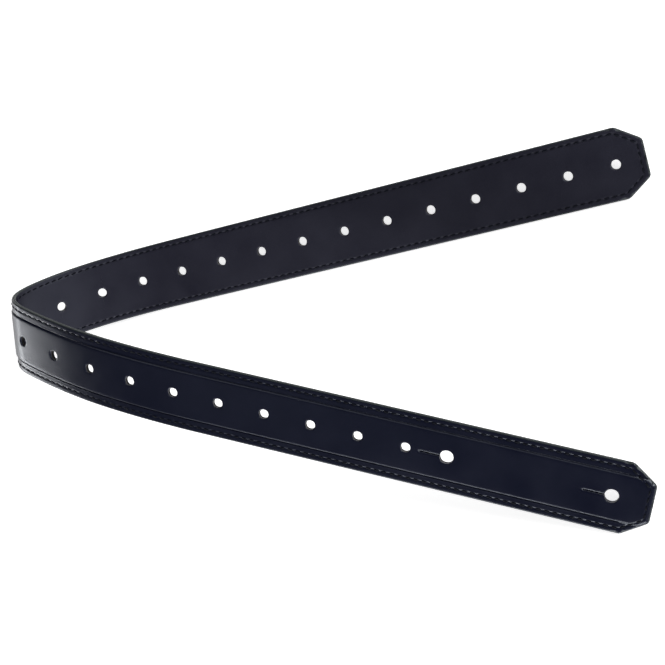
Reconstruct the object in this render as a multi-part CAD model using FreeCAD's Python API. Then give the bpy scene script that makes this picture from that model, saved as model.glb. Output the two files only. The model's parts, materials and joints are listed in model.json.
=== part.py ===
"""Saxophone neck strap: a stitched leather strap with a row of adjustment holes, folded once on itself.

The strap is drawn flat, cut into plates at its flexing lines, and then bent plate by plate.
Flat frame: +X runs from the middle hole to the plain end, +Y is across the strap, +Z is its lining side.
In the finished frame the plain half lies along X on its lower long edge, and the keyhole half's tip
rests on the same surface, at Z = 0.
"""
import FreeCAD, Part
import math
import os
from FreeCAD import Placement, Rotation, Vector

# ---- driving dimensions, mm and degrees ----
WIDTH = 38.0                # across the strap
FACE_THICK = 1.3            # outer leather
LINING_THICK = 1.3          # inner leather
CORE_THICK = 0.8            # stiffening strip between them
CORE_INSET = 7.4            # from the strap's edge to the core's edge
PANEL_INSET = 6.4           # from the strap's edge to the raised panel's edge
THREAD_INSET = 3.0          # from the strap's edge to the stitch row
THREAD_WIDE = 0.9
THREAD_HIGH = 0.3

HOLE_PITCH = 25.4
HOLES_PLAIN_SIDE = 14       # adjustment holes on each side of the middle one: plain half
HOLES_KEYHOLE_SIDE = 10     # and keyhole half
HOLE_R = 2.5
PLAIN_END_MARGIN = 16.0     # last adjustment hole to the plain end
KEYHOLE_R = 3.5
KEYHOLE_FIRST = 21.5        # last adjustment hole to the first keyhole
KEYHOLE_SPACING = 83.8
KEYHOLE_END_MARGIN = 20.5   # second keyhole to the keyhole end
SLIT_LONG = 14.4            # from a keyhole's centre to the end of its slit
SLIT_WIDE = 0.6

CLIP_ALONG = 13.0           # clipped corners at both ends
CLIP_ACROSS = 9.0
CORNER_R = 2.5

SKEW = 12.5                 # the flexing lines' angle from square across the strap
# The fold, from the plain half to the keyhole half: distance past the middle hole, bend as the strap lies
FOLD_LINES = [(-69.85, 20.0), (-38.1, 20.0), (-16.7, 16.0), (-4.0, 15.5), (4.0, 28.0),
              (12.25, 34.0), (20.95, 19.0), (38.1, 6.0), (69.85, 12.0)]
PLAIN_FLEX_LINE = (-114.3, 3.0)
KEYHOLE_FLEX_LINE = (114.3, 9.0)
FOLD_CLOSES = 0.08          # how much further the fold closes, as a part of each bend
FLEX_RANGE = 30.0           # either half flexes this far each way
CUT_GAP = 0.05              # from a flexing line to the plate on each side of it

# ---- derived sizes ----
PANEL_TOP = -(FACE_THICK + CORE_THICK)      # outer surface of the raised panel
AXIS_Z = (PANEL_TOP + LINING_THICK) / 2     # flexing lines run at mid-thickness
PLAIN_END_X = HOLES_PLAIN_SIDE * HOLE_PITCH + PLAIN_END_MARGIN
KEYHOLE_XS = [-HOLES_KEYHOLE_SIDE * HOLE_PITCH - KEYHOLE_FIRST - k * KEYHOLE_SPACING for k in (0, 1)]
KEYHOLE_END_X = KEYHOLE_XS[1] - KEYHOLE_END_MARGIN
HOLE_XS = [k * HOLE_PITCH for k in range(HOLES_PLAIN_SIDE, -HOLES_KEYHOLE_SIDE - 1, -1)]
LINES = [PLAIN_FLEX_LINE] + FOLD_LINES + [KEYHOLE_FLEX_LINE]
LINE_DIR = Vector(math.sin(math.radians(SKEW)), math.cos(math.radians(SKEW)), 0)
ALONG_DIR = Vector(-LINE_DIR.y, LINE_DIR.x, 0)      # square to the flexing lines, to the keyhole end
BODIES = (["plain_half", "plain_shoulder"] + [f"fold_{k}" for k in range(1, len(FOLD_LINES))]
          + ["keyhole_shoulder", "keyhole_half"])
FAR = 1000.0                # beyond the strap in every direction


def clipped_end(end_x, sign, inset):
    """The four corner points of one clipped end, inset all round, from -Y to +Y."""
    half = WIDTH / 2 - inset
    slope = math.hypot(CLIP_ALONG, CLIP_ACROSS)
    reach = CLIP_ALONG * (WIDTH / 2 - CLIP_ACROSS) - inset * slope
    straight_half = (reach + CLIP_ACROSS * inset) / CLIP_ALONG
    shoulder = (CLIP_ALONG * half - reach) / CLIP_ACROSS
    return [Vector(end_x - sign * shoulder, -half, 0),
            Vector(end_x - sign * inset, -straight_half, 0),
            Vector(end_x - sign * inset, straight_half, 0),
            Vector(end_x - sign * shoulder, half, 0)]


def slab(inset, low, high):
    """The strap's flat outline, inset all round, from one height to another, with its corners rounded."""
    points = clipped_end(PLAIN_END_X, 1, inset) + clipped_end(KEYHOLE_END_X, -1, inset)[::-1]
    face = Part.Face(Part.makePolygon(points + points[:1]))
    face.translate(Vector(0, 0, low))
    solid = face.extrude(Vector(0, 0, high - low))
    radius = CORNER_R - inset
    if radius <= 0:
        return solid
    corners = [e for e in solid.Edges if abs(e.Vertexes[0].Z - e.Vertexes[-1].Z) > (high - low) / 2]
    return solid.makeFillet(radius, corners)


def hole_tools():
    """Cutters for the adjustment holes and the keyholes with their slits."""
    low, high = PANEL_TOP - 1, LINING_THICK + 1
    tools = [Part.makeCylinder(HOLE_R, high - low, Vector(x, 0, low)) for x in HOLE_XS]
    for x in KEYHOLE_XS:
        tools.append(Part.makeCylinder(KEYHOLE_R, high - low, Vector(x, 0, low)))
        tools.append(Part.makeBox(SLIT_LONG, SLIT_WIDE, high - low, Vector(x, -SLIT_WIDE / 2, low)))
    return tools


def thread_row(low, high):
    """A row of stitches all round the strap, as one flat strip."""
    outer = slab(THREAD_INSET - THREAD_WIDE / 2, low, high)
    return outer.cut(slab(THREAD_INSET + THREAD_WIDE / 2, low - 1, high + 1))


def flat_layers():
    """Every physical layer of the whole strap, lying flat."""
    pocket = slab(CORE_INSET, -CORE_THICK, 0)
    face = slab(0, -FACE_THICK, 0).fuse(slab(PANEL_INSET, PANEL_TOP, -FACE_THICK)).cut(pocket).removeSplitter()
    holes = hole_tools()
    return {
        "face_leather": face.cut(holes),
        "core_strip": pocket.cut(holes),
        "lining_leather": slab(0, 0, LINING_THICK).cut(holes),
        "needle_thread": thread_row(-FACE_THICK - THREAD_HIGH, -FACE_THICK),
        "bobbin_thread": thread_row(LINING_THICK, LINING_THICK + THREAD_HIGH),
    }


def closed_and_open_bend(index):
    """How far a flexing line bends towards the lining, and the other way, from the flat strap."""
    bend = LINES[index][1]
    if 0 < index < len(LINES) - 1:
        return bend * (1 + FOLD_CLOSES), 0.0
    return bend + FLEX_RANGE, FLEX_RANGE - bend


def plate_region(index):
    """The space of one plate: square or mitred ends at its two flexing lines, open at the strap's ends."""
    reach = 10.0
    cos_skew = math.cos(math.radians(SKEW))
    sides = []
    for line, sign in ((index - 1, 1), (index, -1)):
        if not 0 <= line < len(LINES):
            sides.append([(-sign * FAR, z) for z in (-reach, reach)])
            continue
        closed, opened = closed_and_open_bend(line)
        start = LINES[line][0] * cos_skew + sign * CUT_GAP
        sides.append([(start + sign * (reach + AXIS_Z) * math.tan(math.radians(opened / 2)), -reach),
                      (start, AXIS_Z),
                      (start + sign * (reach - AXIS_Z) * math.tan(math.radians(closed / 2)), reach)])
    profile = sides[0] + sides[1][::-1]
    points = [ALONG_DIR * p + Vector(0, 0, z) - LINE_DIR * FAR for p, z in profile]
    return Part.Face(Part.makePolygon(points + points[:1])).extrude(LINE_DIR * FAR * 2)


def line_point(index):
    """Where a flexing line crosses the strap's middle, in the flat frame."""
    return Vector(-LINES[index][0], 0, AXIS_Z)


def bent_placements():
    """Where each plate goes when every flexing line takes its bend, with the first plate left flat."""
    placements = [Placement()]
    for index, (_, bend) in enumerate(LINES):
        turn = Placement(Vector(), Rotation(LINE_DIR, bend), line_point(index))
        placements.append(placements[-1].multiply(turn))
    return placements


def resting_placement(plates):
    """Lean the bent strap on the plain half's lower edge until the tip touches, and centre it at Z = 0."""
    edge = Vector(0, -WIDTH / 2, -FACE_THICK)
    tip = [v.Point - edge for v in plates[-1].Vertexes]
    lean = min(math.degrees(math.atan2(v.z, -v.y)) for v in tip if v.y < 0)
    leaning = Placement(Vector(), Rotation(Vector(1, 0, 0), lean))
    boxes = [plate.transformed(leaning.toMatrix()).optimalBoundingBox(False) for plate in plates]
    low = [min(getattr(box, side) for box in boxes) for side in ("XMin", "YMin", "ZMin")]
    high = [max(getattr(box, side) for box in boxes) for side in ("XMax", "YMax")]
    shift = Vector(-(low[0] + high[0]) / 2, -(low[1] + high[1]) / 2, -low[2])
    print(f"lean {lean:.2f} degrees, shift {shift.x:.2f} {shift.y:.2f} {shift.z:.2f}")
    return Placement(shift, leaning.Rotation)


def build():
    """Every node's solid in the finished frame, by name, and each plate's placement."""
    layers = flat_layers()
    regions = [plate_region(index) for index in range(len(BODIES))]
    bent = bent_placements()
    flat = {(body, layer): solid.common(region)
            for body, region in zip(BODIES, regions) for layer, solid in layers.items()}
    outer = [Part.makeCompound([flat[body, layer] for layer in layers]).transformed(place.toMatrix())
             for body, place in zip(BODIES, bent)]
    rest = resting_placement(outer)
    places = [rest.multiply(place) for place in bent]
    nodes = {f"{body}_{layer}": flat[body, layer].transformed(place.toMatrix())
             for body, place in zip(BODIES, places) for layer in layers}
    return nodes, places


def main():
    os.makedirs("parts", exist_ok=True)
    nodes, _ = build()
    for name, shape in nodes.items():
        shape.exportStep(f"parts/{name}.step")


if __name__ == "__main__":
    main()
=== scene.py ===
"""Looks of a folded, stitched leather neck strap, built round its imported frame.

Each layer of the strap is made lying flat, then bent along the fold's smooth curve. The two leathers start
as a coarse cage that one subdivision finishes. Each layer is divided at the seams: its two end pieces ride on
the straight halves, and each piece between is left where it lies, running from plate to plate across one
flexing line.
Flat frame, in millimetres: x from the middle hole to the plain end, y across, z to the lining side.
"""
import json
import math

import bmesh
import bpy
import numpy as np
from mathutils import Matrix, Vector


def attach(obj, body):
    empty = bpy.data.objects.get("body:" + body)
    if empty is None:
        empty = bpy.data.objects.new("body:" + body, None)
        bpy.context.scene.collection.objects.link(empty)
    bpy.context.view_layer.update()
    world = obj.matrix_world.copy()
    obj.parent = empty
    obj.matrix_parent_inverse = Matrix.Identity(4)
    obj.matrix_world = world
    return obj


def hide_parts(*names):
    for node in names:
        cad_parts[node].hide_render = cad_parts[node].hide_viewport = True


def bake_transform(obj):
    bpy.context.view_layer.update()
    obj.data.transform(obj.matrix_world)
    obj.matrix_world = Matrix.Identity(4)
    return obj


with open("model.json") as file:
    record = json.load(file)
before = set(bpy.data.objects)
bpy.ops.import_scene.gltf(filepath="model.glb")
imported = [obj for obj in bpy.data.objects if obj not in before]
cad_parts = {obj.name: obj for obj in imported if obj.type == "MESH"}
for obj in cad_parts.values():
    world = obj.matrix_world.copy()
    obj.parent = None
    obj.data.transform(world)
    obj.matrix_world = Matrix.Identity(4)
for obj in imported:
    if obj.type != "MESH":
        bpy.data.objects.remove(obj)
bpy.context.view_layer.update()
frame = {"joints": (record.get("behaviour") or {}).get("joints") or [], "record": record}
MM = 0.001

# ---- the strap's own sizes, mm ----
WIDTH = 38.0
HOLE_PITCH = 25.4
HOLE_R = 2.5
KEYHOLE_R = 3.5
PLAIN_HOLES = 14                       # adjustment holes past the middle one, on the plain half
KEYHOLE_HALF_HOLES = 10                # and on the keyhole half
PLAIN_END_MARGIN = 16.0                # from the last hole's centre to the end
KEYHOLE_END_MARGIN = 20.5              # from the second keyhole's centre to the end
CLIP_ALONG, CLIP_ACROSS = 13.0, 9.0    # the clipped corners of both ends
CORNER_R = 2.5
SLIT_LONG = 14.4                       # from the keyhole's centre
SLIT_TIP = 0.05                        # half the slit's width at its tip
SLIT_HALF = 0.13                       # what that half gains toward the keyhole
SLIT_TAPER = 3.0                       # it gains it over one part in this many of the length
CORE_INSET = 7.7
CORE_HIGH = -0.10
CORE_CLEAR = 0.19                      # from the core, skived at its edge, to the pocket, as the fold opens
FIRST_SEAM = 5.5 * HOLE_PITCH          # where the pieces over the fold begin, from the middle hole

# ---- the stitches, mm ----
STITCH_INSET = 3.0
STITCH_PITCH = 25.4 / 6
STITCH_HALF = 0.43                     # half a stitch's length, as a share of the pitch
STITCH_SLANT = math.radians(7.0)
STITCH_LIFT = 0.1                      # the stitches' ground, above the leather
THREAD_AXIS = 0.12                     # the middle of the bead of thread, above that ground
THREAD_DIVE = 0.55                     # how far its tips sink
THREAD_TIP_R, THREAD_SWELL = 0.04, 0.40  # its radius at the tips, and what its middle adds
THREAD_SQUASH = 0.85                   # its height, as a share of its width
THREAD_SIDES, THREAD_SECTIONS = 6, 7

# ---- the cage, mm ----
BLOCK = 4.5                            # half the side of the square of cells that each hole takes up
RING_STEPS = (0.45, 0.16, 0.0)         # the rings inside that square, from its side to the hole
SHRINK = 0.985                         # what one subdivision leaves of a hole's ring
FOLD_REACH, FOLD_STEP = 30.0, 1.3      # this near the middle hole, columns are about this far apart
BEND_REACH, BEND_STEP = 95.0, 2.2
END_REACH, END_STEP = 16.0, 0.9        # and this near an end
STRAIGHT_STEP = 3.4                    # and everywhere else
SLIT_STEP = 0.8                        # from the column at a slit's tip to those beside it
SKEW_REACH, SKEW_FADE = 200.0, 50.0    # columns lean as the flexing lines do, and stand square past the reach
ROW_SQUEEZE = 0.8                      # how much of the narrow ends the middle rows may take up
SAME_PLACE = 1e-6
EDGE_ROWS = [0.0, 0.25, 0.9, 1.6, 2.3, 3.0, 3.7, 4.55, 5.4, 6.0, 6.3, 6.6, 7.0, 7.8, 9.2]
MIDDLE_ROWS = [0.3, 0.85, 2.4, 4.5]    # rows through the hole squares, on each side of the middle
# How far the surfaces close in at a hole, at a keyhole's mouth and at a slit, and how far a slit's lips rise
HOLE_DROP, MOUTH_DROP, SLIT_DROP, LIP_RISE = 0.3, 0.2, 0.22, 0.07
OUTER_DROP, HIDDEN_DROP = 0.9, 0.15    # the shares of it that the outer and the hidden surface take

# Heights above the glued plane, by distance in from the rounded outline
RIM = [(0.0, 0.55), (0.25, 1.06), (0.9, 1.30), (2.3, 1.34),
       (3.0, 1.08), (3.7, 1.34), (5.4, 1.36), (19.0, 1.36)]
LINING_RIM = [(0.0, 0.55), (0.25, 1.06), (0.9, 1.28), (2.3, 1.32), (3.0, 1.08), (3.7, 1.32), (19.0, 1.32)]
# The tooled crease and the padded panel, added to the face by distance in from the long sides
CREASE = [(5.5, 0.0), (6.0, 0.06), (6.3, -0.26), (6.6, 0.22),
          (7.0, 0.62), (7.8, 0.70), (9.2, 0.72), (19.0, 0.73)]
# How much of the panel and of the crease there is, by distance in from the outline
PANEL_FADE = [(0.5, 0.0), (1.2, 0.55), (2.0, 0.9), (2.6, 1.0)]
GROOVE_FADE = [(0.5, 0.0), (1.2, 1.0)]
# The hidden surface: glued at the edge, lifted over the core, and by how much the two layers part at the rim
POCKET = [(7.0, 0.02), (8.0, 0.5), (9.2, 0.79), (19.0, 0.79)]
RIM_GAP = [(0.0, 0.16), (0.25, 0.04), (0.9, 0.02)]
OUTSIDE = 0.93                         # heights above this are on the outer surface, not the hidden one
CRISP_INSETS = (EDGE_ROWS[1], EDGE_ROWS[-1] + 1.0)

# ---- what the frame says ----
JOINTS = frame["joints"]
BODIES = list(frame["record"]["behaviour"]["bodies"])
MOUNTS = {mount["name"]: np.array(mount["pos_m"]) / MM for mount in frame["record"]["mounts"]}
LINE_POINTS = [np.array(joint["pos_m"]) / MM for joint in JOINTS]
RULING = np.array(JOINTS[0]["axis"])                    # the direction that all flexing lines share
PLAIN_DIR = np.array([1.0, 0.0, 0.0])                   # along the plain half
SIN_SKEW = float(RULING @ PLAIN_DIR)
COS_SKEW = math.sqrt(1 - SIN_SKEW ** 2)
FORWARD = (SIN_SKEW * RULING - PLAIN_DIR) / COS_SKEW    # square to the lines, to the keyhole half
LIFT = np.cross(PLAIN_DIR, RULING) / COS_SKEW           # square to the plain half, to its lining side


def flat_stations():
    """How far past the middle hole each flexing line lies, along the strap's middle."""
    holes = [name for name in MOUNTS if name.startswith("adjustment_hole")]
    middle_place = PLAIN_HOLES * HOLE_PITCH
    first = np.linalg.norm(LINE_POINTS[0] - MOUNTS[holes[0]]) - middle_place
    steps = [np.linalg.norm(b - a) for a, b in zip(LINE_POINTS, LINE_POINTS[1:])]
    return np.concatenate([[first], first + np.cumsum(steps)])


LINES = flat_stations()
AXIS_Z = -0.4                                           # the lines' height, about mid-thickness
KEYHOLES = [-LINES[-1] - np.linalg.norm(MOUNTS[name] - LINE_POINTS[-1])
            for name in ("keyhole_1", "keyhole_2")]
HOLES = [(k * HOLE_PITCH, HOLE_R) for k in range(PLAIN_HOLES, -KEYHOLE_HALF_HOLES - 1, -1)]
HOLES += [(x, KEYHOLE_R) for x in KEYHOLES]
PLAIN_END = PLAIN_HOLES * HOLE_PITCH + PLAIN_END_MARGIN
KEYHOLE_END = KEYHOLES[1] - KEYHOLE_END_MARGIN


# ---------------------------------------------------------------- the smooth curve

def seam_stations():
    """Each seam mirrors the one before it in the flexing line between them."""
    seams = [-FIRST_SEAM]
    for line in LINES:
        seams.append(2 * line - seams[-1])
    return np.array(seams)


def plate_headings():
    """The direction that each plate runs in, turning up from the plain half."""
    ends = LINE_POINTS + [LINE_POINTS[-1] + MOUNTS["keyhole_2"] - MOUNTS["keyhole_1"]]
    headings = [0.0]
    for a, b in zip(ends, ends[1:]):
        angle = math.atan2((b - a) @ LIFT, (b - a) @ FORWARD)
        while angle < headings[-1] - math.pi:
            angle += 2 * math.pi
        headings.append(angle)
    return headings


SEAMS = seam_stations()
CURVE_STEPS = 40                       # steps along each parabola of the fold
CURVE_REACH = 500.0                    # how far the straight halves are taken past it, mm


def fold_curve():
    """The strap's side view square to the flexing lines: one parabola from seam to seam about each line.

    Returns the distance along the flat strap, the two coordinates and the heading of its points.
    """
    headings = plate_headings()
    lines, seams = LINES * COS_SKEW, SEAMS * COS_SKEW
    ways = [np.array([math.cos(h), math.sin(h)]) for h in headings]
    corners = [np.zeros(2)]
    for k in range(1, len(lines)):
        corners.append(corners[-1] + (lines[k] - lines[k - 1]) * ways[k])
    joins = [corners[0] + (seams[0] - lines[0]) * ways[0]]
    joins += [corner + (seam - line) * way
              for corner, seam, line, way in zip(corners, seams[1:], lines, ways[1:])]
    t = np.linspace(0, 1, CURVE_STEPS + 1)
    along, points, turns = [seams[:1] - CURVE_REACH], [joins[:1] - CURVE_REACH * ways[0]], [np.zeros(1)]
    for k, corner in enumerate(corners):
        a, c = joins[k], joins[k + 1]
        arc = np.outer((1 - t) ** 2, a) + np.outer(2 * t * (1 - t), corner) + np.outer(t * t, c)
        slope = np.outer(1 - t, corner - a) + np.outer(t, c - corner)
        length = np.concatenate([[0], np.cumsum(np.linalg.norm(np.diff(arc, axis=0), axis=1))])
        along.append(seams[k] + (seams[k + 1] - seams[k]) * length / length[-1])
        points.append(arc)
        turn = np.arctan2(slope[:, 1], slope[:, 0])
        # past half a turn, headings are counted up to a whole one, so that they don't jump
        turns.append(turn % (2 * math.pi) if headings[k + 1] > 1 else turn)
    along.append(seams[-1:] + CURVE_REACH)
    points.append(joins[-1:] + CURVE_REACH * ways[-1])
    turns.append(np.array([headings[-1]]))
    return np.concatenate(along), np.concatenate(points), np.concatenate(turns)


CURVE_ALONG, CURVE_POINTS, CURVE_TURNS = fold_curve()


def bend(flat):
    """Flat points, in mm, to where they lie on the folded strap, in metres."""
    x, y, z = flat.T
    along = y * SIN_SKEW - x * COS_SKEW
    across = x * SIN_SKEW + y * COS_SKEW + LINES[0] * SIN_SKEW
    turn = np.interp(along, CURVE_ALONG, CURVE_TURNS)
    ahead = np.interp(along, CURVE_ALONG, CURVE_POINTS[:, 0]) - (z - AXIS_Z) * np.sin(turn)
    up = np.interp(along, CURVE_ALONG, CURVE_POINTS[:, 1]) + (z - AXIS_Z) * np.cos(turn)
    place = LINE_POINTS[0] + np.outer(ahead, FORWARD) + np.outer(up, LIFT) + np.outer(across, RULING)
    return place * MM


# ---------------------------------------------------------------- the flat outline

CLIP_SLOPE = math.hypot(CLIP_ALONG, CLIP_ACROSS)
CLIP_START = WIDTH / 2 - CLIP_ACROSS
END_CORNER = np.array([CORNER_R, CLIP_START + (CLIP_ACROSS - CLIP_SLOPE) * CORNER_R / CLIP_ALONG])
SIDE_CORNER_Y = WIDTH / 2 - CORNER_R
SIDE_CORNER = np.array([(CORNER_R * CLIP_SLOPE + CLIP_ALONG * (SIDE_CORNER_Y - CLIP_START)) / CLIP_ACROSS,
                        SIDE_CORNER_Y])


def from_end(x):
    """Distance to the strap's nearer end."""
    return np.minimum(PLAIN_END - x, x - KEYHOLE_END)


def half_width(gap):
    """Half the strap's width at a distance from its end, with rounded corners."""
    first_turn = END_CORNER[0] - CORNER_R * CLIP_ACROSS / CLIP_SLOPE
    last_turn = SIDE_CORNER[0] - CORNER_R * CLIP_ACROSS / CLIP_SLOPE
    if gap >= SIDE_CORNER[0]:
        return WIDTH / 2
    if gap >= last_turn:
        return SIDE_CORNER[1] + math.sqrt(CORNER_R ** 2 - (SIDE_CORNER[0] - gap) ** 2)
    if gap >= first_turn:
        return CLIP_START + gap * CLIP_ACROSS / CLIP_ALONG
    return END_CORNER[1] + math.sqrt(CORNER_R ** 2 - (END_CORNER[0] - gap) ** 2)


def inset_of(x, y):
    """Distance in from the strap's rounded outline."""
    gap, wide = from_end(x), np.abs(y)
    side = WIDTH / 2 - wide
    clip = (CLIP_ALONG * (CLIP_START - wide) + CLIP_ACROSS * gap) / CLIP_SLOPE
    inset = np.minimum(np.minimum(side, gap), clip)
    for corner, inner, outer in ((END_CORNER, gap, clip), (SIDE_CORNER, side, clip)):
        near = (inner < CORNER_R) & (outer < CORNER_R)
        rounded = CORNER_R - np.hypot(gap - corner[0], wide - corner[1])
        inset = np.where(near, np.minimum(inset, rounded), inset)
    return inset


# ---------------------------------------------------------------- the cage

def column_step(x):
    """About how far apart the columns are: closest over the fold and near both ends."""
    if abs(x) < FOLD_REACH:
        return FOLD_STEP
    if abs(x) < BEND_REACH:
        return BEND_STEP
    return END_STEP if from_end(x) < END_REACH else STRAIGHT_STEP


def columns():
    """Stations of the cage's columns: on the seams, round the holes, and at both ends as the edge's rows."""
    fixed = set(SEAMS)
    for x, _ in HOLES:
        fixed |= {-x + k * BLOCK / 2 for k in (-2, -1, 0, 1, 2)}
    for x in KEYHOLES:
        fixed |= {-x - SLIT_LONG - SLIT_STEP, -x - SLIT_LONG, -x - SLIT_LONG + SLIT_STEP}
    fixed |= {-PLAIN_END + inset for inset in EDGE_ROWS} | {-KEYHOLE_END - inset for inset in EDGE_ROWS}
    fixed = sorted(fixed)
    out = [fixed[0]]
    for a, b in zip(fixed, fixed[1:]):
        if b - a < SAME_PLACE:
            continue
        count = max(1, round((b - a) / column_step(-(a + b) / 2)))
        out += [a + (b - a) * k / count for k in range(1, count + 1)]
    return np.array(out)


def rows(gap):
    """Places across the strap of the cage's rows, at a distance from its end."""
    half = half_width(gap)
    lean = CLIP_SLOPE / CLIP_ALONG if gap < SIDE_CORNER[0] else 1.0
    edge = [half - inset * lean for inset in EDGE_ROWS]
    inner = edge[-1]
    squeeze = min(1.0, ROW_SQUEEZE * inner / MIDDLE_ROWS[-1])
    middle = [y * squeeze for y in MIDDLE_ROWS]
    half_rows = middle + [(middle[-1] + inner) / 2] + edge[::-1]
    return np.array([-y for y in half_rows[::-1]] + half_rows)


class FlatCage:
    """The strap's plan: its cells, with the holes and slits left open."""

    def __init__(self):
        self.stations = columns()
        self.points, self.cells, self.rim, self.lip = [], [], {}, {}
        skews = np.clip((SKEW_REACH - np.abs(self.stations)) / SKEW_FADE, 0, 1) * SIN_SKEW / COS_SKEW
        self.grid = []
        for station, skew in zip(self.stations, skews):
            across = rows(from_end(-station))
            self.grid.append([self.add(-station + y * skew, y) for y in across])
        self.middle = len(self.grid[0]) // 2
        self.open_cells = set()
        for x, radius in HOLES:
            self.open_hole(x, radius)
        for i, (row, after) in enumerate(zip(self.grid, self.grid[1:])):
            for j in range(len(row) - 1):
                if (i, j) not in self.open_cells:
                    self.cells.append((row[j], after[j], after[j + 1], row[j + 1]))

    def add(self, x, y):
        self.points.append((x, y))
        return len(self.points) - 1

    def column_at(self, station):
        """The number of the column nearest to a station."""
        return int(np.argmin(np.abs(self.stations - station)))

    def open_hole(self, x, radius):
        """Leaves the square of cells round a hole open and fills it with rings down to the hole."""
        i0, i1 = self.column_at(-x - BLOCK), self.column_at(-x + BLOCK)
        j0, j1 = self.middle - len(MIDDLE_ROWS), self.middle + len(MIDDLE_ROWS) - 1
        self.open_cells |= {(i, j) for i in range(i0, i1) for j in range(j0, j1)}
        loop = [self.grid[i][j0] for i in range(i0, i1)] + [self.grid[i1][j] for j in range(j0, j1)]
        loop += [self.grid[i][j1] for i in range(i1, i0, -1)]
        loop += [self.grid[i0][j] for j in range(j1, j0, -1)]
        slit = set()
        if radius == KEYHOLE_R:
            slit = {self.grid[i0][self.middle - 1], self.grid[i0][self.middle]}
            self.open_slit(x, i0)
        outer = loop
        for share in RING_STEPS:
            inner = []
            for index in loop:
                px, py = self.points[index]
                angle = math.atan2(py, px - x)
                cx, cy = x + math.cos(angle) * radius / SHRINK, math.sin(angle) * radius / SHRINK
                inner.append(self.add(cx + (px - cx) * share, cy + (py - cy) * share))
                if share == 0.0:
                    self.rim[inner[-1]] = HOLE_DROP
            for k in range(len(loop)):
                n = (k + 1) % len(loop)
                if {loop[k], loop[n]} != slit:
                    self.cells.append((outer[k], outer[n], inner[n], inner[k]))
                elif share > 0.0:
                    self.rim[inner[k]] = self.rim[inner[n]] = MOUTH_DROP
            outer = inner

    def open_slit(self, x, first):
        """Leaves the middle cells open from a keyhole's square to the end of its slit."""
        last = self.column_at(-x - SLIT_LONG)
        self.open_cells |= {(i, self.middle - 1) for i in range(last, first)}
        for i in range(last, first + 1):
            share = (i - last) / (first - last)
            for j, side in ((self.middle - 1, -1), (self.middle, 1)):
                px = self.points[self.grid[i][j]][0]
                half = SLIT_TIP + SLIT_HALF * min(1.0, SLIT_TAPER * share)
                self.points[self.grid[i][j]] = (px, side * half)
                self.rim[self.grid[i][j]] = SLIT_DROP
            for j in (self.middle - 2, self.middle + 1):
                self.lip[self.grid[i][j]] = LIP_RISE


def height_at(profile, inset):
    return np.interp(inset, *zip(*profile))


def face_heights(y, inset):
    """The outer leather: a rim all round, and a panel between two creases that run off at the clipped ends.

    Like the two below, it returns the height of the outer surface and of the hidden one.
    """
    side = WIDTH / 2 - np.abs(y)
    fade = height_at(PANEL_FADE, inset)
    raised = height_at(CREASE, side)
    groove = height_at(GROOVE_FADE, inset)
    outer = height_at(RIM, inset) + np.where(raised > 0, raised * fade, raised * groove)
    hidden = height_at(RIM_GAP, inset) + height_at(POCKET, inset) - POCKET[0][1]
    return outer, hidden


def lining_heights(y, inset):
    return height_at(LINING_RIM, inset), height_at(RIM_GAP, inset)


def core_heights(y, inset):
    return np.full(len(inset), CORE_HIGH), CORE_CLEAR - height_at(POCKET, inset)


def closed_cage(name, plan, side, heights, least_inset=None):
    """A closed mesh from the plan: an outer and a hidden surface, with a wall round every open edge.

    With a least inset, only the cells further in than that are kept, and the slits have no raised lips.
    """
    xy = np.array(plan.points)
    inset = inset_of(xy[:, 0], xy[:, 1])
    high, low = heights(xy[:, 1], inset)
    drop = np.zeros(len(xy))
    for index, amount in plan.rim.items():
        drop[index] = amount
    for index, amount in plan.lip.items():
        drop[index] = -amount if least_inset is None else 0.0
    count = len(xy)
    top = np.column_stack([xy, side * (high - drop * OUTER_DROP)])
    bottom = np.column_stack([xy, side * (low + drop * HIDDEN_DROP)])
    cells = [cell for cell in plan.cells if least_inset is None or inset[list(cell)].min() > least_inset]
    faces = cells + [tuple(count + v for v in reversed(cell)) for cell in cells]
    edges = {}
    for cell in cells:
        for a, b in zip(cell, cell[1:] + cell[:1]):
            edges[(a, b)] = edges.get((a, b), 0) + 1
    for a, b in edges:
        if (b, a) not in edges:
            faces.append((b, a, count + a, count + b))
    mesh = bpy.data.meshes.new(name)
    mesh.from_pydata(np.vstack([top, bottom]).tolist(), [], faces)
    bm = bmesh.new()
    bm.from_mesh(mesh)
    bmesh.ops.delete(bm, geom=[v for v in bm.verts if not v.link_faces], context="VERTS")
    bmesh.ops.recalc_face_normals(bm, faces=bm.faces)
    for face in bm.faces:
        face.smooth = True
        # carries the piece's number through the subdivision
        face.material_index = segment_of(face.calc_center_median())
    bm.to_mesh(mesh)
    bm.free()
    return mesh


def segment_of(point):
    """Which piece of the strap a flat point is on, from the plain end."""
    station = (point[1] * SIN_SKEW - point[0] * COS_SKEW) / COS_SKEW
    return int(np.searchsorted(SEAMS, station))


def coordinates(mesh):
    out = np.empty(len(mesh.vertices) * 3)
    mesh.vertices.foreach_get("co", out)
    return out.reshape(-1, 3)


def finished(mesh, side, heights):
    """The mesh after a subdivision, with the groove and the crease made crisp again on the outer surface."""
    piece = bpy.data.objects.new(mesh.name, mesh)
    bpy.context.scene.collection.objects.link(piece)
    smooth = piece.modifiers.new("smooth", "SUBSURF")
    smooth.levels = smooth.render_levels = 1
    bpy.context.view_layer.update()
    done = bpy.data.meshes.new_from_object(piece.evaluated_get(bpy.context.evaluated_depsgraph_get()))
    bpy.data.objects.remove(piece)
    flat = coordinates(done)
    inset = inset_of(flat[:, 0], flat[:, 1])
    crisp = (side * flat[:, 2] > OUTSIDE) & (inset > CRISP_INSETS[0]) & (inset < CRISP_INSETS[1])
    flat[crisp, 2] = side * heights(flat[crisp, 1], inset[crisp])[0]
    done.vertices.foreach_set("co", flat.ravel())
    return done


# ---------------------------------------------------------------- pieces

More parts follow.
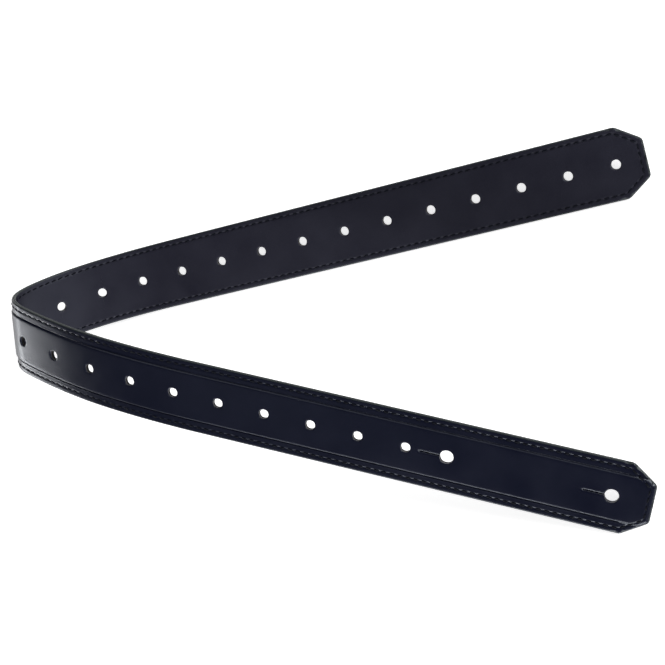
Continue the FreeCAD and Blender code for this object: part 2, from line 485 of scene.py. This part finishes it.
def store(mesh, name, kind, key, values):
    """Keeps a value on every point of a mesh, for its material to read."""
    attribute = mesh.attributes.new(name, kind, "POINT")
    attribute.data.foreach_set(key, values.ravel().astype(np.float32))


def split_into_pieces(layer, mesh, material):
    """Bends a finished flat mesh and cuts it at the seams into closed pieces, the two end ones on their
    plates.
    """
    flat = coordinates(mesh)
    bent = bend(flat)
    mesh.vertices.foreach_set("co", bent.ravel())
    mesh.update()
    normals = np.empty(len(mesh.vertices) * 3)
    mesh.vertices.foreach_get("normal", normals)
    normals = normals.reshape(-1, 3)
    inset = inset_of(flat[:, 0], flat[:, 1])
    polygons = [[] for _ in range(len(SEAMS) + 1)]
    for polygon in mesh.polygons:
        polygons[polygon.material_index].append(tuple(polygon.vertices))
    pieces = []
    for index, cells in enumerate(polygons):
        used = sorted({v for cell in cells for v in cell})
        renumber = {v: k for k, v in enumerate(used)}
        faces = [tuple(renumber[v] for v in cell) for cell in cells]
        part = bpy.data.meshes.new(f"{layer}_{index:02d}")
        part.from_pydata(bent[used].tolist(), [], faces)
        close_ends(part)
        part.polygons.foreach_set("use_smooth", [True] * len(part.polygons))
        smooth = normals[used]
        loops = []
        for polygon in part.polygons:
            on_surface = polygon.index < len(faces)
            loops += [tuple(smooth[v]) if on_surface else tuple(polygon.normal) for v in polygon.vertices]
        part.normals_split_custom_set(loops)
        store(part, "flat", "FLOAT_VECTOR", "vector", flat[used])
        store(part, "inset", "FLOAT", "value", inset[used])
        pieces.append(place_piece(part, layer, index, material))
    bpy.data.meshes.remove(mesh)
    return pieces


def close_ends(part):
    """Fills the cuts, and keeps the surface's own faces first and their points in order."""
    bm = bmesh.new()
    bm.from_mesh(part)
    cut = [edge for edge in bm.edges if edge.is_boundary]
    if cut:
        bmesh.ops.holes_fill(bm, edges=cut, sides=0)
    bm.to_mesh(part)
    bm.free()


def place_piece(part, layer, index, material):
    """Puts one piece of a layer on its body, or across its flexing line."""
    part.materials.append(material)
    piece = bpy.data.objects.new(part.name, part)
    bpy.context.scene.collection.objects.link(piece)
    last = len(SEAMS)
    if index in (0, last):
        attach(piece, BODIES[0 if index == 0 else -1])
    else:
        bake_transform(piece)
    # there is one piece more than there are bodies, so the last one between the end pieces replaces nothing
    body = len(BODIES) - 1 if index == last else index
    if index != last - 1:
        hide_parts(f"{BODIES[body]}_{layer}")
    return piece


def stitch_path(inset):
    """Corner points of the stitch row, counter-clockwise from the plain end's lower side."""
    half = WIDTH / 2 - inset
    reach = CLIP_ALONG * CLIP_START - inset * CLIP_SLOPE
    straight = (reach + CLIP_ACROSS * inset) / CLIP_ALONG
    shoulder = (CLIP_ALONG * half - reach) / CLIP_ACROSS
    right = [(PLAIN_END - shoulder, -half), (PLAIN_END - inset, -straight),
             (PLAIN_END - inset, straight), (PLAIN_END - shoulder, half)]
    left = [(KEYHOLE_END + shoulder, half), (KEYHOLE_END + inset, straight),
            (KEYHOLE_END + inset, -straight), (KEYHOLE_END + shoulder, -half)]
    return np.array(right + left)


def stitch_shape():
    """One stitch, lying along x: a short bead of thread whose ends dive into the leather."""
    sides, sections = THREAD_SIDES, THREAD_SECTIONS
    points, faces = [], []
    for i in range(sections):
        t = i / (sections - 1) * 2 - 1
        radius = THREAD_SWELL * (1 - abs(t) ** 4) ** 0.5 + THREAD_TIP_R
        sink = -THREAD_DIVE * abs(t) ** 3
        for k in range(sides):
            angle = 2 * math.pi * k / sides
            points.append((t * STITCH_PITCH * STITCH_HALF, radius * math.cos(angle),
                           THREAD_AXIS + sink + THREAD_SQUASH * radius * math.sin(angle)))
    for i in range(sections - 1):
        for k in range(sides):
            n = (k + 1) % sides
            faces.append((i * sides + k, (i + 1) * sides + k, (i + 1) * sides + n, i * sides + n))
    faces.append(tuple(range(sides)))
    faces.append(tuple(reversed(range((sections - 1) * sides, sections * sides))))
    return np.array(points), faces


def make_stitches(layer, side, heights, material):
    """A stitch row all round one side of the strap, as many small threads."""
    corners = stitch_path(STITCH_INSET)
    shape, shape_faces = stitch_shape()
    if side > 0:
        shape_faces = [face[::-1] for face in shape_faces]
    batches = [([], [], []) for _ in range(len(SEAMS) + 1)]
    for a, b in zip(corners, np.roll(corners, -1, axis=0)):
        run = np.linalg.norm(b - a)
        way = (b - a) / run
        count = max(1, round(run / STITCH_PITCH))
        scale = run / count / STITCH_PITCH
        turn = math.atan2(way[1], way[0]) + STITCH_SLANT
        c, s = math.cos(turn), math.sin(turn)
        for k in range(count):
            middle = a + way * run * (k + 0.5) / count
            ground = heights(middle[1:], np.array([STITCH_INSET]))[0][0] + STITCH_LIFT
            flat = np.column_stack([middle[0] + c * shape[:, 0] * scale - s * shape[:, 1],
                                    middle[1] + s * shape[:, 0] * scale + c * shape[:, 1],
                                    side * (ground + shape[:, 2])])
            points, faces, own = batches[segment_of(middle)]
            first = sum(len(p) for p in points)
            points.append(flat)
            own.append(shape)
            faces += [tuple(first + v for v in face) for face in shape_faces]
    for index, (points, faces, own) in enumerate(batches):
        mesh = bpy.data.meshes.new(f"{layer}_{index:02d}")
        mesh.from_pydata(bend(np.vstack(points)).tolist(), [], faces)
        mesh.polygons.foreach_set("use_smooth", [True] * len(mesh.polygons))
        store(mesh, "flat", "FLOAT_VECTOR", "vector", np.vstack(own))
        place_piece(mesh, layer, index, material)


# ---------------------------------------------------------------- materials

COOL_GLOSS = (0.84, 0.90, 1.0, 1)
MIX_A, MIX_B, MIX_RESULT = 6, 7, 2     # the colour sockets of a mix node, which share their names with others


def new_material(name, colour, roughness):
    """A principled material, with its node tree ready."""
    material = bpy.data.materials.new(name)
    material.use_nodes = True
    shader = material.node_tree.nodes["Principled BSDF"]
    shader.inputs["Base Color"].default_value = (*colour, 1)
    shader.inputs["Roughness"].default_value = roughness
    return material, material.node_tree, shader


def node(tree, kind, values, links, **settings):
    """A shader node, with its settings, the values of its inputs and the outputs linked into it."""
    made = tree.nodes.new(kind)
    for name, value in settings.items():
        setattr(made, name, value)
    for key, value in values.items():
        made.inputs[key].default_value = value
    for key, output in links.items():
        tree.links.new(output, made.inputs[key])
    return made


def stored(tree, name, output):
    """A value that the pieces keep on their points."""
    return node(tree, "ShaderNodeAttribute", {}, {}, attribute_name=name).outputs[output]


def leather(name, dark, light, smooth, rough, grain, depth, specular):
    """Dyed leather: a fine pore grain and soft creases in the surface, with uneven dye and polish."""
    material, tree, shader = new_material(name, dark, smooth)
    shader.inputs["Specular IOR Level"].default_value = specular
    shader.inputs["Specular Tint"].default_value = COOL_GLOSS
    flat = {"Vector": stored(tree, "flat", "Vector")}
    cells = node(tree, "ShaderNodeTexVoronoi", {"Scale": grain}, flat, feature="DISTANCE_TO_EDGE")
    pores = node(tree, "ShaderNodeTexNoise", {"Scale": grain * 2.6, "Detail": 3}, flat)
    cloud = node(tree, "ShaderNodeTexNoise", {"Scale": 0.045, "Detail": 5}, flat)
    creases = node(tree, "ShaderNodeMapRange", {"From Max": 0.22}, {"Value": cells.outputs["Distance"]})
    height = node(tree, "ShaderNodeMath", {1: 0.45},
                  {0: pores.outputs["Fac"], 2: creases.outputs["Result"]}, operation="MULTIPLY_ADD")
    bump = node(tree, "ShaderNodeBump", {"Strength": 0.6, "Distance": depth},
                {"Height": height.outputs["Value"]})
    dye = node(tree, "ShaderNodeMix", {MIX_A: (*dark, 1), MIX_B: (*light, 1)},
               {"Factor": cloud.outputs["Fac"]}, data_type="RGBA")
    near_edge = node(tree, "ShaderNodeMapRange", {"From Min": 0.15, "From Max": 0.9},
                     {"Value": stored(tree, "inset", "Fac")})
    painted = node(tree, "ShaderNodeMix", {MIX_A: (0.030, 0.036, 0.034, 1)},
                   {"Factor": near_edge.outputs["Result"], MIX_B: dye.outputs[MIX_RESULT]}, data_type="RGBA")
    polish = node(tree, "ShaderNodeMapRange",
                  {"From Min": 0.3, "From Max": 0.7, "To Min": smooth, "To Max": rough},
                  {"Value": cloud.outputs["Fac"]})
    tree.links.new(bump.outputs["Normal"], shader.inputs["Normal"])
    tree.links.new(painted.outputs[MIX_RESULT], shader.inputs["Base Color"])
    tree.links.new(polish.outputs["Result"], shader.inputs["Roughness"])
    return material


def waxed_thread():
    """Black waxed thread, with its ply twisted round each stitch."""
    material, tree, shader = new_material("waxed_thread", (0.004, 0.004, 0.007), 0.6)
    shader.inputs["Specular IOR Level"].default_value = 0.12
    shader.inputs["Specular Tint"].default_value = COOL_GLOSS
    twist = node(tree, "ShaderNodeMapping", {"Rotation": (0, 0, math.radians(38))},
                 {"Vector": stored(tree, "flat", "Vector")})
    ply = node(tree, "ShaderNodeTexWave", {"Scale": 0.9, "Distortion": 0.4},
               {"Vector": twist.outputs["Vector"]}, bands_direction="X")
    bump = node(tree, "ShaderNodeBump", {"Strength": 0.7, "Distance": 0.00008},
                {"Height": ply.outputs["Fac"]})
    tone = node(tree, "ShaderNodeMix", {MIX_A: (0.0015, 0.0018, 0.004, 1), MIX_B: (0.004, 0.0048, 0.010, 1)},
                {"Factor": ply.outputs["Fac"]}, data_type="RGBA")
    tree.links.new(bump.outputs["Normal"], shader.inputs["Normal"])
    tree.links.new(tone.outputs[MIX_RESULT], shader.inputs["Base Color"])
    return material


def leather_board():
    """The core: grey-brown board of bonded leather fibre."""
    material, tree, shader = new_material("leather_board", (0.05, 0.043, 0.036), 0.8)
    fibre = node(tree, "ShaderNodeTexNoise", {"Scale": 1.7, "Detail": 6},
                 {"Vector": stored(tree, "flat", "Vector")})
    tone = node(tree, "ShaderNodeMix", {MIX_A: (0.03, 0.026, 0.022, 1), MIX_B: (0.075, 0.062, 0.05, 1)},
                {"Factor": fibre.outputs["Fac"]}, data_type="RGBA")
    bump = node(tree, "ShaderNodeBump", {"Distance": 0.0001}, {"Height": fibre.outputs["Fac"]})
    tree.links.new(tone.outputs[MIX_RESULT], shader.inputs["Base Color"])
    tree.links.new(bump.outputs["Normal"], shader.inputs["Normal"])
    return material


# ---------------------------------------------------------------- the studio

def make_floor():
    """A plain pale floor under the strap."""
    mesh = bpy.data.meshes.new("floor")
    half = 6.0
    corners = [(-half, -half, 0), (half, -half, 0), (half, half, 0), (-half, half, 0)]
    mesh.from_pydata(corners, [], [(0, 1, 2, 3)])
    floor = bpy.data.objects.new("floor", mesh)
    bpy.context.scene.collection.objects.link(floor)
    material, _, shader = new_material("pale_floor", (0.93, 0.93, 0.93), 0.9)
    shader.inputs["Specular IOR Level"].default_value = 0.1
    shader.inputs["Emission Color"].default_value = (1, 1, 1, 1)
    shader.inputs["Emission Strength"].default_value = 0.75
    mesh.materials.append(material)


def add_light(name, place, aim, size, power):
    light = bpy.data.lights.new(name, "AREA")
    light.shape = "RECTANGLE"
    light.size, light.size_y = size
    light.energy = power
    lamp = bpy.data.objects.new(name, light)
    lamp.location = place
    lamp.rotation_euler = (Vector(aim) - Vector(place)).to_track_quat("-Z", "Y").to_euler()
    bpy.context.scene.collection.objects.link(lamp)


def make_studio():
    """Soft light low round the strap, so that the leather above stays dark, and a dim room."""
    add_light("front_softbox", (-0.25, -1.7, 0.20), (0, 0, 0.02), (1.8, 0.22), 34)
    add_light("left_softbox", (-1.7, -0.15, 0.08), (0, 0, 0.03), (1.0, 0.12), 15)
    add_light("back_softbox", (0.2, 1.3, 1.5), (0, 0, 0), (1.6, 0.9), 9)
    add_light("upper_softbox", (-0.62, -0.88, 1.45), (0, 0, 0), (0.5, 0.35), 0.45)
    add_light("right_softbox", (1.6, 0.3, 1.3), (0, 0, 0), (1.0, 0.8), 34)
    world = bpy.data.worlds.new("room")
    world.use_nodes = True
    world.node_tree.nodes["Background"].inputs["Color"].default_value = (1, 1, 1, 1)
    world.node_tree.nodes["Background"].inputs["Strength"].default_value = 0.04
    bpy.context.scene.world = world
    bpy.context.scene.view_settings.view_transform = "Standard"


def make_camera():
    """A long lens, high over the open end of the V."""
    place = Vector((0.2677, -0.1672, 0.7165))
    aim = Vector((0.0020, 0.0259, 0.0200))
    picture_up = Vector((0.201, 0.961, 0.190))
    data = bpy.data.cameras.new("camera")
    data.sensor_width = 36.0
    data.lens = 77.4
    ahead = (aim - place).normalized()
    right = ahead.cross(picture_up).normalized()
    up = right.cross(ahead)
    turn = Matrix((right, up, -ahead)).transposed().to_4x4()
    camera = bpy.data.objects.new("camera", data)
    camera.matrix_world = Matrix.Translation(place) @ turn
    bpy.context.scene.collection.objects.link(camera)
    bpy.context.scene.camera = camera


def main():
    make_camera()
    make_floor()
    make_studio()
    plan = FlatCage()
    outer = leather("outer_leather", (0.0018, 0.0026, 0.0095), (0.0036, 0.0046, 0.0145),
                    smooth=0.28, rough=0.37, grain=2.6, depth=0.000013, specular=0.34)
    inner = leather("lining_leather", (0.0060, 0.0055, 0.0120), (0.0105, 0.0098, 0.0195),
                    smooth=0.44, rough=0.56, grain=1.7, depth=0.00003, specular=0.38)
    face = closed_cage("face_leather", plan, -1, face_heights)
    split_into_pieces("face_leather", finished(face, -1, face_heights), outer)
    lining = closed_cage("lining_leather", plan, 1, lining_heights)
    split_into_pieces("lining_leather", finished(lining, 1, lining_heights), inner)
    core = closed_cage("core_strip", plan, 1, core_heights, least_inset=CORE_INSET)
    split_into_pieces("core_strip", core, leather_board())
    thread = waxed_thread()
    make_stitches("needle_thread", -1, face_heights, thread)
    make_stitches("bobbin_thread", 1, lining_heights, thread)


main()
